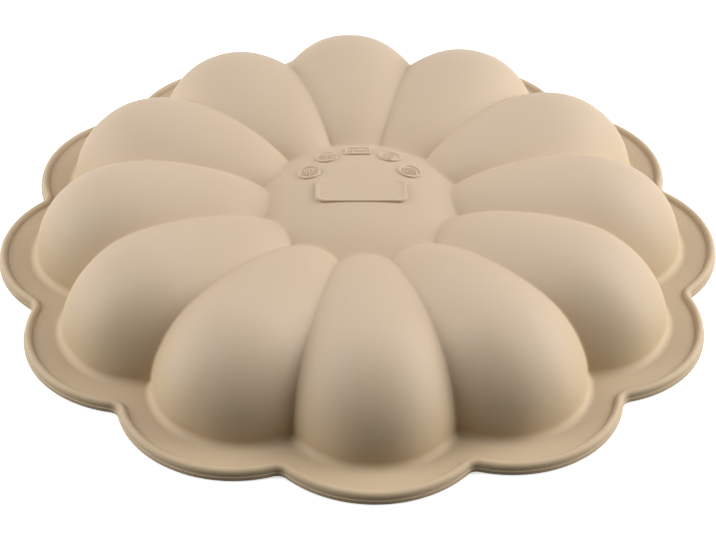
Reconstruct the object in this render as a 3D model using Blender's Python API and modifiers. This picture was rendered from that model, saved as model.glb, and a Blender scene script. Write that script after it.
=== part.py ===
"""Silicone flower cake mould, turned over and standing on its rim, as it is stored and cleaned.

Metres, +Z up. The origin is the centre of the rim's underside, and a petal points along -Y.
The moulding is built region by region: rim bead, flange, twelve petal cups, the domed middle
and the raised pad and bosses on it. Neighbouring regions keep a seam of SEAM between them.
"""
import math

import bmesh
import bpy
import numpy as np
from mathutils import Matrix, Vector

# Overall layout
PETALS = 12
WALL = 0.0020                # moulded wall thickness
SEAM = 0.0003                # clearance between neighbouring regions

# Rim: twelve arcs joined by small hollow fillets in the notches
RIM_REACH = 0.1400           # origin to the tip of a lobe
LOBE_RADIUS = 0.0432
NOTCH_FILLET = 0.0040
BEAD_WIDTH = 0.0032
BEAD_RISE = 0.0024           # top of the bead above its lip
LIP_HEIGHT = 0.0016          # the lip round the foot of the bead
LIP_STEP = 0.0006            # how far the bead stands back from the lip
FLANGE_THICKNESS = 0.0032
FLANGE_WIDTH = 0.0118        # from the bead to the foot of a petal's tip

# Petal, seen from the side: the crest line above the foot's fillet
CREST_HEIGHT = 0.0310
CREST_PEAK = 0.0900          # distance of the highest point from the origin
TIP_POWER = 2.03
TIP_ROOT = 1.80
CREST_FALL = 0.0072          # how much lower the line has come by the dome's edge
CREST_SAG = 1.55
NOSE_DROP = 0.0022           # how far it also bends down just before the dome
NOSE_REACH = 0.0175          # length of that bend

# Petal, seen from above: half its width across the axis
HALF_WIDTH = 0.03735
WIDEST_AT = 0.0733
WIDTH_POWER = 1.95
WIDTH_ROOT = 2.30
INNER_HALF_WIDTH = 0.0210
WIDTH_TAPER = 2.03

# Petal, cut across: a flattened oval
ARCH_POWER = 2.23
ARCH_ROOT = 1.49
FOOT_FILLET = 0.0027         # hollow fillet between petal and flange

# Dome in the middle: nearly flat at its crown, steeper and steeper towards its edge
DOME_RADIUS = 0.0375         # out to where the creases end
DOME_LIFT = 0.0011           # its edge above the end of a crease
DOME_RISE = 0.0070
DOME_POWER = 3.0
DOME_CAP = 0.0340            # radius of the dome's own piece; the petals' noses begin there
NOSE_BLEND = 0.0004          # rounding between dome and nose
NOSE_LENGTH = 0.0050         # from the dome's edge to where it no longer touches the petal

# Bosses in an arc on the rear of the dome, left bare
BOSS_RADIUS = 0.0046
BOSS_HEIGHT = 0.0006
BOSS_RIM = 0.0007
BOSS_RECESS = 0.0003
TILE_LENGTH = 0.0103
TILE_WIDTH = 0.0074
TILE_CORNER = 0.0015
TILE_TO_EDGE = 0.0110        # middle of the oblong boss to the dome's rear edge
ARC_RADIUS = 0.0201
ARC_SPACING = math.radians(38.0)

# Raised pad in front of the bosses, left bare
PAD_LENGTH = 0.0350
PAD_WIDTH = 0.0140
PAD_CORNER = 0.0035
PAD_PROUD = 0.0005           # top of the pad above the dome's crown
PAD_TO_BOSS = 0.0023         # rear edge of the pad to the outer bosses

# How far a petal's sheet runs past its creases before it is trimmed
NOSE_OVERRUN = math.radians(5.0)
FOOT_OVERRUN = math.radians(1.5)

# Fineness of the faceted surfaces
LOBE_STEPS = 10
NOTCH_STEPS = 3
ACROSS = 8
ALONG = 8
NOSE_STEPS = 4
BEAD_STEPS = 4
DOME_STEPS = 60
DOME_ROWS = 7

HALF_SECTOR = math.pi / PETALS
PETAL_REACH = RIM_REACH - BEAD_WIDTH - FLANGE_WIDTH
FOOT_LEVEL = FLANGE_THICKNESS + FOOT_FILLET
ARC_CENTRE = DOME_RADIUS - TILE_TO_EDGE - ARC_RADIUS
PAD_CENTRE = (ARC_CENTRE + ARC_RADIUS * math.cos(2.0 * ARC_SPACING)
              - BOSS_RADIUS - PAD_TO_BOSS - 0.5 * PAD_WIDTH)


def clear_scene():
    for obj in list(bpy.data.objects):
        bpy.data.objects.remove(obj, do_unlink=True)


def new_collection(name):
    collection = bpy.data.collections.new(name)
    bpy.context.scene.collection.children.link(collection)
    return collection


def add_object(name, data, collection):
    obj = bpy.data.objects.new(name, data)
    collection.objects.link(obj)
    return obj


def silicone(name, colour, roughness):
    material = bpy.data.materials.new(name)
    material.use_nodes = True
    shader = material.node_tree.nodes["Principled BSDF"]
    shader.inputs["Base Color"].default_value = (*colour, 1.0)
    shader.inputs["Roughness"].default_value = roughness
    shader.inputs["Metallic"].default_value = 0.0
    material.diffuse_color = (*colour, 1.0)
    return material


def smooth(mesh, angle=35.0):
    mesh.shade_smooth()
    mesh.set_sharp_from_angle(angle=math.radians(angle))


def baked(obj, name):
    """The evaluated mesh of an object, with its modifiers in it."""
    depsgraph = bpy.context.evaluated_depsgraph_get()
    mesh = bpy.data.meshes.new_from_object(obj.evaluated_get(depsgraph))
    mesh.name = name
    return mesh


# Shape of one petal. u runs from the origin along the petal's axis and w across it.

def crest_height(u):
    """Crest above the foot: a round shoulder, a gentle fall inwards, a bend down at the nose."""
    beyond = np.clip((u - CREST_PEAK) / (PETAL_REACH - CREST_PEAK), 0.0, 1.0)
    short = np.clip((CREST_PEAK - u) / (CREST_PEAK - DOME_RADIUS), 0.0, 1.2)
    bend = np.clip((DOME_RADIUS + NOSE_REACH - u) / NOSE_REACH, 0.0, 2.0)
    shoulder = CREST_HEIGHT * (1.0 - beyond ** TIP_POWER) ** (1.0 / TIP_ROOT)
    return shoulder - CREST_FALL * short ** CREST_SAG - NOSE_DROP * bend ** 2


def half_width(u):
    """Half the petal's width: a round end beyond the widest place, a taper towards the dome."""
    beyond = np.clip((u - WIDEST_AT) / (PETAL_REACH - WIDEST_AT), 0.0, 1.0)
    short = np.clip((WIDEST_AT - u) / (WIDEST_AT - DOME_RADIUS), 0.0, 1.2)
    taper = HALF_WIDTH - INNER_HALF_WIDTH
    return HALF_WIDTH * (1.0 - beyond ** WIDTH_POWER) ** (1.0 / WIDTH_ROOT) - taper * short ** WIDTH_TAPER


def petal_height(u, w):
    """Height of the petal's outer surface above the table."""
    across = np.clip(np.abs(w) / np.maximum(half_width(u), 1e-9), 0.0, 1.0)
    arch = (1.0 - across ** ARCH_POWER) ** (1.0 / ARCH_ROOT)
    return FOOT_LEVEL + crest_height(u) * arch


def dome_height(radius):
    """Height of the dome above the table: its fall from the crown grows with a power of the radius."""
    u = DOME_RADIUS * math.cos(HALF_SECTOR)
    w = DOME_RADIUS * math.sin(HALF_SECTOR)
    edge = float(petal_height(np.array(u), np.array(w))) + DOME_LIFT
    return edge + DOME_RISE * (1.0 - (radius / DOME_RADIUS) ** DOME_POWER)


def nose_height(u, w):
    """Dome or petal, whichever is higher, with a rounding between them."""
    dome = dome_height(np.hypot(u, w))
    return NOSE_BLEND * np.logaddexp(dome / NOSE_BLEND, petal_height(u, w) / NOSE_BLEND)


def foot_line(offset=0.0, beyond=0.0, count=ACROSS + 1, fine=1600):
    """Foot of one petal in plan, from crease to crease round the tip, moved outwards by offset.

    The line runs on past each crease by an angle of beyond. It is worked out from fine points and
    then spaced evenly with count of them.
    """
    turn = np.linspace(-math.pi / 2, math.pi / 2, fine)
    u = WIDEST_AT + (PETAL_REACH - WIDEST_AT) * (1.0 - np.sin(np.abs(turn)) ** 2.4)
    w = np.sign(turn) * half_width(u)
    du = np.gradient(u)
    dw = np.gradient(w)
    length = np.hypot(du, dw)
    u = u + offset * dw / length
    w = w - offset * du / length
    limit = HALF_SECTOR + beyond
    angle = np.arctan2(w, u)
    inside = np.flatnonzero(np.abs(angle) < limit)
    first, last = inside[0], inside[-1]
    share = (limit + angle[first - 1]) / (angle[first - 1] - angle[first])
    start_u = u[first - 1] + share * (u[first] - u[first - 1])
    start_w = w[first - 1] + share * (w[first] - w[first - 1])
    u = np.concatenate([[start_u], u[first:last + 1], [start_u]])
    w = np.concatenate([[start_w], w[first:last + 1], [-start_w]])
    travelled = np.concatenate([[0.0], np.cumsum(np.hypot(np.diff(u), np.diff(w)))])
    even = np.linspace(0.0, travelled[-1], count)
    return np.interp(even, travelled, u), np.interp(even, travelled, w)


def with_overrun(within, beyond):
    """A row from crease to crease, with the ends of a longer row added on both sides."""
    return np.concatenate([beyond[:1], within, beyond[-1:]])


def petal_sheet():
    """Outer surface of one petal as rows of points, from the dome outwards to the foot.

    Each row runs a little past both creases, where the neighbour's surface cuts it off.
    """
    near_u, near_w = foot_line()
    past_u, past_w = foot_line(beyond=FOOT_OVERRUN)
    foot_u, foot_w = with_overrun(near_u, past_u), with_overrun(near_w, past_w)
    sides = np.linspace(-HALF_SECTOR, HALF_SECTOR, ACROSS + 1)
    side = with_overrun(sides, np.array([-1.0, 1.0]) * (HALF_SECTOR + NOSE_OVERRUN))
    rows = []
    for radius in np.linspace(DOME_CAP - 0.5 * WALL, DOME_RADIUS + NOSE_LENGTH, NOSE_STEPS + 1):
        u, w = radius * np.cos(side), radius * np.sin(side)
        rows.append((u, w, nose_height(u, w)))
    start_u, start_w = rows[-1][0], rows[-1][1]
    for step in range(1, ALONG + 1):
        share = math.sin(0.5 * math.pi * step / ALONG)
        u = start_u + (foot_u - start_u) * share
        w = start_w + (foot_w - start_w) * share
        rows.append((u, w, petal_height(u, w)))
    out_u, out_w = np.gradient(foot_w), -np.gradient(foot_u)
    length = np.hypot(out_u, out_w)
    for degrees in (25.0, 50.0, 75.0):
        turn = math.radians(degrees)
        out = FOOT_FILLET * (1.0 - math.cos(turn))
        drop = FOOT_FILLET * math.sin(turn)
        rows.append((foot_u + out * out_u / length, foot_w + out * out_w / length,
                     np.full_like(foot_u, FOOT_LEVEL - drop)))
    return rows


def sheet_mesh(name, rows):
    """Join rows of points into a sheet of quads that faces outwards."""
    mesh = bpy.data.meshes.new(name)
    bm = bmesh.new()
    grid = [[bm.verts.new((w, -u, z)) for u, w, z in zip(*row)] for row in rows]
    for near, far in zip(grid, grid[1:]):
        for i in range(len(near) - 1):
            bm.faces.new((near[i], far[i], far[i + 1], near[i + 1]))
    bm.to_mesh(mesh)
    bm.free()
    return mesh


def sector_cutter(collection):
    """Room of one petal: between its two crease planes, above the flange and outside the dome's piece."""
    inner = DOME_CAP + 0.5 * SEAM
    outer = RIM_REACH
    bottom = FLANGE_THICKNESS + SEAM
    top = FOOT_LEVEL + 2.0 * CREST_HEIGHT
    steps = DOME_STEPS // PETALS
    set_back_inner = math.asin(0.5 * SEAM / inner)
    set_back_outer = math.asin(0.5 * SEAM / outer)
    near = np.linspace(-HALF_SECTOR + set_back_inner, HALF_SECTOR - set_back_inner, steps + 1)
    far = (HALF_SECTOR - set_back_outer, -HALF_SECTOR + set_back_outer)
    outline = [(inner * math.sin(a), -inner * math.cos(a)) for a in near]
    outline += [(outer / math.cos(HALF_SECTOR) * math.sin(a), -outer / math.cos(HALF_SECTOR) * math.cos(a))
                for a in far]
    mesh = bpy.data.meshes.new("petal_room")
    bm = bmesh.new()
    face = bm.faces.new([bm.verts.new((x, y, bottom)) for x, y in outline])
    grown = bmesh.ops.extrude_face_region(bm, geom=[face])
    moved = [item for item in grown["geom"] if isinstance(item, bmesh.types.BMVert)]
    bmesh.ops.translate(bm, verts=moved, vec=(0.0, 0.0, top - bottom))
    bmesh.ops.recalc_face_normals(bm, faces=bm.faces)
    bm.to_mesh(mesh)
    bm.free()
    cutter = add_object("petal_room", mesh, collection)
    cutter.hide_render = True
    cutter.display_type = "WIRE"
    return cutter


def make_petals(parts, cutters, material):
    """One petal is a sheet with a wall, trimmed to its sector, and the twelve share its mesh."""
    sheet = add_object("petal_sheet", sheet_mesh("petal_sheet", petal_sheet()), cutters)
    shell = sheet.modifiers.new("wall", "SOLIDIFY")
    shell.thickness = WALL
    shell.offset = -1.0
    shell.use_even_offset = True
    trim = sheet.modifiers.new("trim", "BOOLEAN")
    trim.operation = "INTERSECT"
    trim.object = sector_cutter(cutters)
    mesh = baked(sheet, "petal_cup")
    bpy.data.objects.remove(sheet, do_unlink=True)
    mesh.materials.clear()
    mesh.materials.append(material)
    smooth(mesh)
    for k in range(PETALS):
        petal = add_object(f"petal_cup_{k + 1:02d}", mesh, parts)
        petal.rotation_euler = (0.0, 0.0, 2.0 * HALF_SECTOR * k)


def rim_line(inset):
    """Scalloped outline, set in from the rim's edge: lobe arcs and notch arcs keep their centres."""
    centre = RIM_REACH - LOBE_RADIUS
    reach = LOBE_RADIUS + NOTCH_FILLET
    notch = centre * math.cos(HALF_SECTOR) + math.sqrt(reach ** 2 - (centre * math.sin(HALF_SECTOR)) ** 2)
    join = math.atan2(notch * math.sin(HALF_SECTOR), notch * math.cos(HALF_SECTOR) - centre)
    lobe = np.linspace(-join, join, LOBE_STEPS + 1)
    lobe_x = centre + (LOBE_RADIUS - inset) * np.cos(lobe)
    lobe_y = (LOBE_RADIUS - inset) * np.sin(lobe)
    hollow = np.linspace(math.pi + join, math.pi + 2.0 * HALF_SECTOR - join, NOTCH_STEPS + 1)[1:-1]
    hollow_x = notch * math.cos(HALF_SECTOR) + (NOTCH_FILLET + inset) * np.cos(hollow)
    hollow_y = notch * math.sin(HALF_SECTOR) + (NOTCH_FILLET + inset) * np.sin(hollow)
    x = np.concatenate([lobe_x, hollow_x])
    y = np.concatenate([lobe_y, hollow_y])
    return ring_of_petals(x, y)


def ring_of_petals(u, w):
    """Repeat one petal's stretch of outline all the way round, starting on -Y."""
    points = []
    for k in range(PETALS):
        turn = 2.0 * HALF_SECTOR * k - 0.5 * math.pi
        points += zip(u * math.cos(turn) - w * math.sin(turn), u * math.sin(turn) + w * math.cos(turn))
    return points


def spline_from(curve, points, cyclic=True):
    spline = curve.splines.new("POLY")
    spline.points.add(len(points) - 1)
    for point, (x, y) in zip(spline.points, points):
        point.co = (x, y, 0.0, 1.0)
    spline.use_cyclic_u = cyclic
    return spline


def bead_profile():
    """Section of the bead, x inwards from the rim's edge: a lip, a step back and a round top."""
    crown = 0.5 * (LIP_STEP + BEAD_WIDTH)
    half = 0.5 * (BEAD_WIDTH - LIP_STEP)
    chamfer = 0.5 * LIP_STEP
    rounding = min(half, 0.9 * (BEAD_RISE - chamfer))
    shoulder = LIP_HEIGHT + BEAD_RISE - rounding
    points = [(BEAD_WIDTH, 0.0), (0.0, 0.0), (0.0, LIP_HEIGHT), (LIP_STEP, LIP_HEIGHT + chamfer)]
    for step in range(BEAD_STEPS + 1):
        turn = math.pi * (1.0 - step / BEAD_STEPS)
        points.append((crown + half * math.cos(turn), shoulder + rounding * math.sin(turn)))
    return points


def make_rim_bead(parts, cutters, material):
    """The bead's section carried round the scalloped outline."""
    section = bpy.data.curves.new("bead_section", "CURVE")
    section.dimensions = "2D"
    section.fill_mode = "NONE"
    spline_from(section, bead_profile())
    guide = add_object("bead_section", section, cutters)
    path = bpy.data.curves.new("rim_bead", "CURVE")
    path.dimensions = "2D"
    path.fill_mode = "NONE"
    path.bevel_mode = "OBJECT"
    path.bevel_object = guide
    spline_from(path, rim_line(0.0))
    sweep = add_object("rim_sweep", path, cutters)
    mesh = baked(sweep, "rim_bead")
    bpy.data.objects.remove(sweep, do_unlink=True)
    bpy.data.objects.remove(guide, do_unlink=True)
    mesh.materials.clear()
    mesh.materials.append(material)
    smooth(mesh)
    add_object("rim_bead", mesh, parts)


def make_flange(parts, material):
    """Flat scalloped ring between the bead and the petals' feet, open under every petal."""
    seat = math.sqrt((FOOT_FILLET + WALL) ** 2 - (FOOT_FILLET - SEAM) ** 2) - FOOT_FILLET
    hole_u, hole_w = foot_line(offset=-seat, count=ACROSS + 3)
    curve = bpy.data.curves.new("rim_flange", "CURVE")
    curve.dimensions = "2D"
    curve.fill_mode = "BOTH"
    curve.extrude = 0.5 * FLANGE_THICKNESS
    spline_from(curve, rim_line(BEAD_WIDTH + SEAM))
    spline_from(curve, ring_of_petals(hole_u[:-1], hole_w[:-1]))
    curve.materials.append(material)
    flange = add_object("rim_flange", curve, parts)
    flange.location.z = 0.5 * FLANGE_THICKNESS


def dome_normal(radius):
    """Outward and upward parts of the dome's surface normal."""
    slope = DOME_RISE * DOME_POWER * radius ** (DOME_POWER - 1.0) / DOME_RADIUS ** DOME_POWER
    length = math.hypot(slope, 1.0)
    return slope / length, 1.0 / length


def dome_profile(offset, reach, steps):
    """Section of the dome from the axis out to a radius, moved off its surface by offset."""
    radii = np.linspace(0.0, reach, 200)
    out, up = np.vectorize(dome_normal)(radii)
    x = radii + offset * out
    z = dome_height(radii) + offset * up
    even = np.linspace(0.0, reach, steps)
    return list(zip(even, np.interp(even, x, z)))


def turned(name, profile, steps, collection, material):
    """A closed solid turned about +Z from a profile that starts and ends on the axis."""
    mesh = bpy.data.meshes.new(name)
    mesh.from_pydata([(x, 0.0, z) for x, z in profile], [(i, i + 1) for i in range(len(profile) - 1)], [])
    obj = add_object(name, mesh, collection)
    screw = obj.modifiers.new("turn", "SCREW")
    screw.steps = steps
    screw.render_steps = steps
    screw.use_merge_vertices = True
    screw.merge_threshold = 0.00001
    mesh.materials.append(material)
    return obj


def make_dome(parts, material):
    """Domed middle, a turned cap of one wall's thickness."""
    reach = DOME_CAP - 0.5 * SEAM
    outside = dome_profile(0.0, reach, DOME_ROWS)
    inside = dome_profile(-WALL, reach, DOME_ROWS - 2)
    dome = turned("centre_dome", outside + inside[::-1], DOME_STEPS, parts, material)
    dome.rotation_euler = (0.0, 0.0, -0.5 * math.pi - HALF_SECTOR)
    return dome


def rounded_rectangle(length, width, corner, steps=4):
    points = []
    for quarter in range(4):
        sign_x = (1, -1, -1, 1)[quarter]
        sign_y = (1, 1, -1, -1)[quarter]
        for step in range(steps + 1):
            turn = 0.5 * math.pi * (quarter + step / steps)
            points.append((sign_x * (0.5 * length - corner) + corner * math.cos(turn),
                           sign_y * (0.5 * width - corner) + corner * math.sin(turn)))
    return points


def extruded(name, outline, bottom, top, collection):
    mesh = bpy.data.meshes.new(name)
    bm = bmesh.new()
    face = bm.faces.new([bm.verts.new((x, y, bottom)) for x, y in outline])
    grown = bmesh.ops.extrude_face_region(bm, geom=[face])
    moved = [item for item in grown["geom"] if isinstance(item, bmesh.types.BMVert)]
    bmesh.ops.translate(bm, verts=moved, vec=(0.0, 0.0, top - bottom))
    bmesh.ops.recalc_face_normals(bm, faces=bm.faces)
    bm.to_mesh(mesh)
    bm.free()
    return add_object(name, mesh, collection)


def make_pad(parts, cutters, material):
    """Bare raised pad: flat on top, its underside hollowed to sit on the dome."""
    crown = dome_height(0.0)
    outline = [(x, y + PAD_CENTRE) for x, y in rounded_rectangle(PAD_LENGTH, PAD_WIDTH, PAD_CORNER)]
    pad = extruded("badge_pad", outline, crown - DOME_RISE, crown + PAD_PROUD, cutters)
    reach = math.hypot(0.5 * PAD_LENGTH, 0.5 * PAD_WIDTH + abs(PAD_CENTRE)) + WALL
    profile = dome_profile(SEAM, reach, 10)
    profile += [(reach, crown - 2.0 * DOME_RISE), (0.0, crown - 2.0 * DOME_RISE)]
    hollow = turned("pad_hollow", profile, DOME_STEPS, cutters, material)
    cut = pad.modifiers.new("seat", "BOOLEAN")
    cut.operation = "DIFFERENCE"
    cut.object = hollow
    mesh = baked(pad, "badge_plaque")
    bpy.data.objects.remove(pad, do_unlink=True)
    hollow.hide_render = True
    hollow.display_type = "WIRE"
    mesh.materials.clear()
    mesh.materials.append(material)
    smooth(mesh)
    add_object("badge_plaque", mesh, parts)


def seat_on_dome(obj, x, y):
    """Stand an object on the dome at x, y, square to the surface and clear of it by SEAM."""
    radius = math.hypot(x, y)
    out, up = dome_normal(radius)
    normal = Vector((out * x / radius, out * y / radius, up))
    place = Vector((x, y, dome_height(radius))) + normal * SEAM
    spin = math.atan2(y, x)
    tilt = math.acos(normal.z)
    obj.matrix_world = (Matrix.Translation(place) @ Matrix.Rotation(spin, 4, "Z")
                        @ Matrix.Rotation(tilt, 4, "Y") @ Matrix.Rotation(-spin, 4, "Z"))


def make_bosses(parts, material):
    """Four round bosses with a raised edge, and an oblong one in the middle of their arc."""
    top = BOSS_HEIGHT
    floor = BOSS_HEIGHT - BOSS_RECESS
    profile = [(0.0, floor), (BOSS_RADIUS - BOSS_RIM, floor), (BOSS_RADIUS - BOSS_RIM, top),
               (BOSS_RADIUS, top), (BOSS_RADIUS, 0.0), (0.0, 0.0)]
    number = 0
    for step in (-2, -1, 0, 1, 2):
        angle = 0.5 * math.pi - step * ARC_SPACING
        x = ARC_RADIUS * math.cos(angle)
        y = ARC_CENTRE + ARC_RADIUS * math.sin(angle)
        if step == 0:
            boss = extruded("care_tile", rounded_rectangle(TILE_LENGTH, TILE_WIDTH, TILE_CORNER, 3),
                            0.0, BOSS_HEIGHT, parts)
            boss.data.materials.append(material)
        else:
            number += 1
            boss = turned(f"care_boss_{number}", profile, 20, parts, material)
        seat_on_dome(boss, x, y)


def main():
    clear_scene()
    parts = new_collection("flower_cake_mould")
    cutters = new_collection("cutters")
    make_rim_bead(parts, cutters, silicone("rim silicone", (0.60, 0.47, 0.35), 0.55))
    make_flange(parts, silicone("flange silicone", (0.54, 0.41, 0.30), 0.60))
    make_petals(parts, cutters, silicone("petal silicone", (0.62, 0.49, 0.38), 0.55))
    make_dome(parts, silicone("dome silicone", (0.61, 0.48, 0.36), 0.58))
    make_pad(parts, cutters, silicone("pad silicone", (0.63, 0.50, 0.38), 0.50))
    make_bosses(parts, silicone("boss silicone", (0.63, 0.50, 0.38), 0.50))


main()
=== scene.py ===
import math

import bpy
import numpy as np
from mathutils import Matrix, Vector


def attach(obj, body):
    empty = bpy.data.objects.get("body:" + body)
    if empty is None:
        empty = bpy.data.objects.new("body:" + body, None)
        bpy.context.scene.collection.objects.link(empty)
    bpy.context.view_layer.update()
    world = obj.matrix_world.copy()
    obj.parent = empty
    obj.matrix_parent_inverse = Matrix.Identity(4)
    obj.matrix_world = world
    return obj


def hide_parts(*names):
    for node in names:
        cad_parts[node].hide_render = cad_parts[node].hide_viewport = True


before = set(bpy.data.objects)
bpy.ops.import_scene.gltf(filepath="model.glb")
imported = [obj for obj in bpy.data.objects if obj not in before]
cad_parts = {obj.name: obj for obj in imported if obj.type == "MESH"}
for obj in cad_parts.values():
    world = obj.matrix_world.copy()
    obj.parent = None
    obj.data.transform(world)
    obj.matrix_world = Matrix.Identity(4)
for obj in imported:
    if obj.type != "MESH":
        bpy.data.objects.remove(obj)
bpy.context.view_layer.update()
print("frame:", len(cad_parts), "nodes")

# Sizes are metres. The mould stands on its rim and the first petal points along -Y.
# In plan u counts from the axis towards a petal's tip and w sideways from the petal's middle.
moulding = {
    "petals": 12,
    "wall": 0.0020,
    "columns": 64,            # steps across one petal
    "crowding": 0.50,         # how much the columns gather towards the creases
    "domeRows": 44,
    "noseRows": 28,
    "bodyRows": 60,
    "filletRows": 10,
    "flangeRows": 8,
    "footSteps": 4000,        # fine points along a petal's foot, which is then read at the columns
    "footCrowding": 2.4,      # power that gathers those points at the tip
}
softening = {
    "crease": 0.0004,         # reach of the rounding across the creases
    "foot": 0.0007,           # and across the feet
    "nose": 0.0004,           # reach down the columns, at the noses
    "body": 0.0003,           # and on the petals
    "creaseStart": 14,        # rows before the dome's edge where the creases' rounding sets in
    "creaseFull": 10,         # rows past the edge where it is full
    "noseStart": 22,          # rows before the edge where the noses' rounding sets in
    "noseFull": 6,            # rows on both sides of the edge between which it is full
    "settled": 6,             # rows past the noses where the petals' own reach begins
    "footFull": 4,            # rows before the foot's edge where the feet's rounding is full
    "footEnd": 3,             # rows past it where the rounding down the columns ends
}
rimShape = {
    "reach": 0.1400,
    "lobeRadius": 0.0432,
    "notchFillet": 0.0040,
    "beadWidth": 0.0036,
    "beadTop": 0.00425,
    "beadRound": 0.0018,      # upright half axis of the bead's oval section
    "innerFillet": 0.0002,
    "lipStep": 0.0003,
    "lipTop": 0.0016,
    "grooveHeight": 0.0004,   # the hollow above the lip
    "lipRounding": 0.0003,
    "baseRounding": 0.0003,
    "baseShares": (0.0, 0.3, 0.7, 1.0),   # how much of the base's rounding each of its steps takes
    "flangeTop": 0.0028,
    "flangeWidth": 0.0114,
    "filletSteps": 6,
    "topSteps": 18,
    "edgeSteps": 4,
    "undersideRows": 5,
}
petalShape = {
    "crestHeight": 0.03097,   # above the foot's fillet
    "crestPeak": 0.0900,
    "tipPower": 2.03,
    "tipRoot": 1.80,
    "crestFall": 0.0072,      # how much lower the ridge has come by the dome's edge
    "crestSag": 1.55,
    "halfWidth": 0.03735,
    "widestAt": 0.0733,
    "widthPower": 1.95,
    "widthRoot": 2.30,
    "innerHalfWidth": 0.0210,
    "widthTaper": 2.03,
    "archPower": 2.23,
    "archRoot": 1.49,
    "footFillet": 0.0031,
    "noseDrop": 0.0022,       # how far the ridge bends down on its way to the dome
    "noseReach": 0.0175,      # length of that bend
    "noseLength": 0.0050,     # the rows stay circles this far past the dome's edge
    "inwardLimit": 1.2,       # sag and taper stop growing this far in, as a share of the way to the dome
    "bendLimit": 2.0,         # and the bend here
}
domeShape = {
    "radius": 0.0375,         # where the creases end
    "lift": 0.0011,           # the dome's edge over the end of a crease
    "rise": 0.0070,
    "power": 3.0,
    "partRadius": 0.0340,     # where the dome's piece ends and the petals' pieces begin
    "softness": 0.0004,       # rounding between the dome and a petal's nose
}

leastLength = 1e-9            # metres, keeps a division by a length from failing
leastReach = 1e-6             # metres, a rounding as short as this leaves a point where it is
leastArea = 1e-12             # square metres
weldsPerMetre = 1e8           # corner points are one point when they agree to this fineness

quarterTurn = 0.5 * math.pi
halfSector = math.pi / moulding["petals"]
petalReach = rimShape["reach"] - rimShape["beadWidth"] - rimShape["flangeWidth"]
footLevel = rimShape["flangeTop"] + petalShape["footFillet"]


def crestHeight(u):
    # height of the ridge above the foot: full height, less a power of the way past the peak, less a sag
    # inwards, less a squared bend just before the dome
    s = petalShape
    beyond = np.clip((u - s["crestPeak"]) / (petalReach - s["crestPeak"]), 0.0, 1.0)
    short = np.clip((s["crestPeak"] - u) / (s["crestPeak"] - domeShape["radius"]), 0.0, s["inwardLimit"])
    shoulder = s["crestHeight"] * (1.0 - beyond ** s["tipPower"]) ** (1.0 / s["tipRoot"])
    dip = np.clip((domeShape["radius"] + s["noseReach"] - u) / s["noseReach"], 0.0, s["bendLimit"])
    return shoulder - s["crestFall"] * short ** s["crestSag"] - s["noseDrop"] * dip ** 2


def halfWidth(u):
    # half the width in plan: full width, less a power of the way past the widest place, less a taper inwards
    s = petalShape
    beyond = np.clip((u - s["widestAt"]) / (petalReach - s["widestAt"]), 0.0, 1.0)
    short = np.clip((s["widestAt"] - u) / (s["widestAt"] - domeShape["radius"]), 0.0, s["inwardLimit"])
    end = s["halfWidth"] * (1.0 - beyond ** s["widthPower"]) ** (1.0 / s["widthRoot"])
    return end - (s["halfWidth"] - s["innerHalfWidth"]) * short ** s["widthTaper"]


def petalHeight(u, w):
    # height over the table: the foot's level plus the ridge times a flattened oval across the width
    across = np.clip(np.abs(w) / np.maximum(halfWidth(u), leastLength), 0.0, 1.0)
    arch = (1.0 - across ** petalShape["archPower"]) ** (1.0 / petalShape["archRoot"])
    return footLevel + crestHeight(u) * arch


def domeHeight(x, y):
    # height of the dome over the table: its rise falls off with a power of the distance from the axis
    s = domeShape
    corner = s["radius"] * np.array([math.cos(halfSector), math.sin(halfSector)])
    edge = petalHeight(corner[0], corner[1]) + s["lift"]
    return edge + s["rise"] * (1.0 - (np.hypot(x, y) / s["radius"]) ** s["power"])


def blended(first, second, softness):
    # soft maximum of two heights: the logarithm of the sum of their exponentials
    return softness * np.logaddexp(first / softness, second / softness)


def footLine(offset, shares):
    # plan curve of the petal's foot moved outwards along its normals, cut at both creases and read at shares
    # of its length
    turn = np.linspace(-quarterTurn, quarterTurn, moulding["footSteps"])
    towardsTip = 1.0 - np.sin(np.abs(turn)) ** moulding["footCrowding"]
    u = petalShape["widestAt"] + (petalReach - petalShape["widestAt"]) * towardsTip
    w = np.sign(turn) * halfWidth(u)
    du = np.gradient(u)
    dw = np.gradient(w)
    length = np.hypot(du, dw)
    u = u + offset * dw / length
    w = w - offset * du / length
    angle = np.arctan2(w, u)
    inside = np.flatnonzero(np.abs(angle) < halfSector)
    first, last = inside[0], inside[-1]
    part = (halfSector + angle[first - 1]) / (angle[first - 1] - angle[first])
    startU = u[first - 1] + part * (u[first] - u[first - 1])
    startW = w[first - 1] + part * (w[first] - w[first - 1])
    u = np.concatenate([[startU], u[first:last + 1], [startU]])
    w = np.concatenate([[startW], w[first:last + 1], [-startW]])
    travelled = np.concatenate([[0.0], np.cumsum(np.hypot(np.diff(u), np.diff(w)))])
    at = (0.5 + 0.5 * shares) * travelled[-1]
    return np.interp(at, travelled, u), np.interp(at, travelled, w)


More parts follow.
